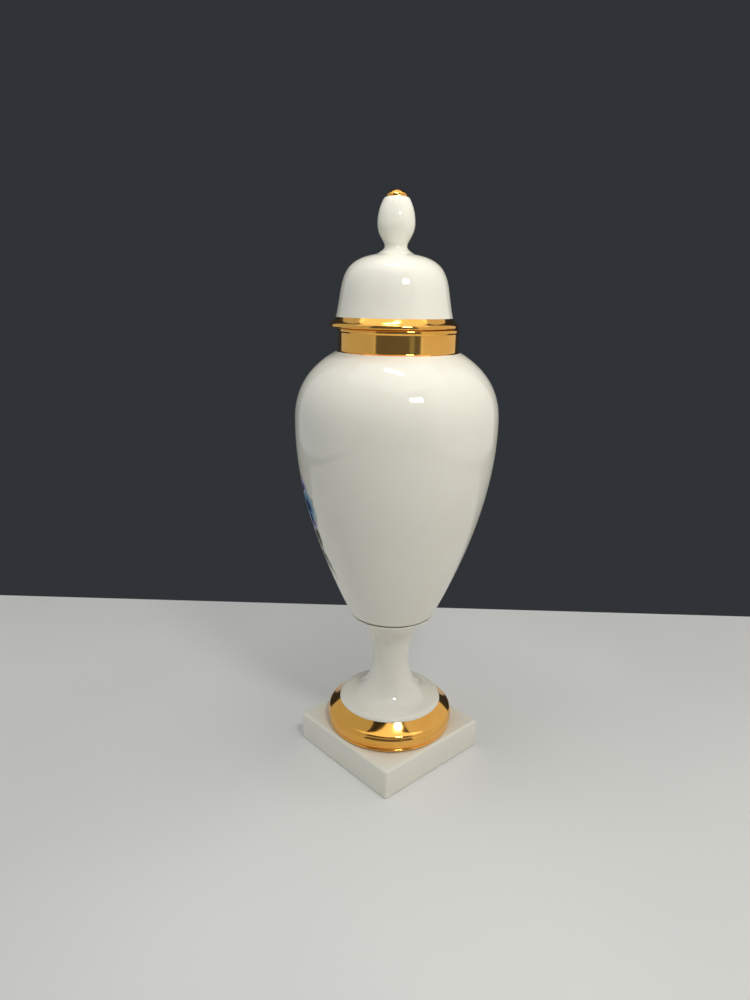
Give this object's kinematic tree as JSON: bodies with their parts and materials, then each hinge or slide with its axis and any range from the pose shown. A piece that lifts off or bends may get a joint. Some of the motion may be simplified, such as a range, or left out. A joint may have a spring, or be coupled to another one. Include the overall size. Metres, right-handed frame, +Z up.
{
  "type": "lidded vase",
  "caption": "Tall lidded porcelain vase, pear-shaped, on a flared pedestal and a square plinth, with gilt bands and a lift-off domed lid with an acorn knob.",
  "frame": {"origin": "middle of the plinth's underside, on the surface that the vase stands on", "axes": "+Z up along the vase's height, the plinth's sides along X and Y, the painted front facing -Y"},
  "size_m": [0.1292, 0.1292, 0.3735],
  "materials": {
    "porcelain": "warm ivory gloss glaze, gilded on the bands and painted with a flower spray on the front",
    "rubber": "matte black washer rubber",
    "zinc_steel": "dull zinc-plated steel"
  },
  "bodies": {
    "vase": {"plinth": "porcelain", "pedestal": "porcelain", "vessel": "porcelain", "joint_washer": "rubber", "tie_rod": "zinc_steel", "upper_soft_washer": "rubber", "upper_steel_washer": "zinc_steel", "upper_nut": "zinc_steel", "lower_soft_washer": "rubber", "lower_steel_washer": "zinc_steel", "lower_nut": "zinc_steel"},
    "lid": {"lid": "porcelain"}
  },
  "joints": [
    {"name": "lid_lift", "type": "slide", "parent": "vase", "child": "lid", "axis": [0, 0, 1], "range_m": [0, 0.12]}
  ]
}
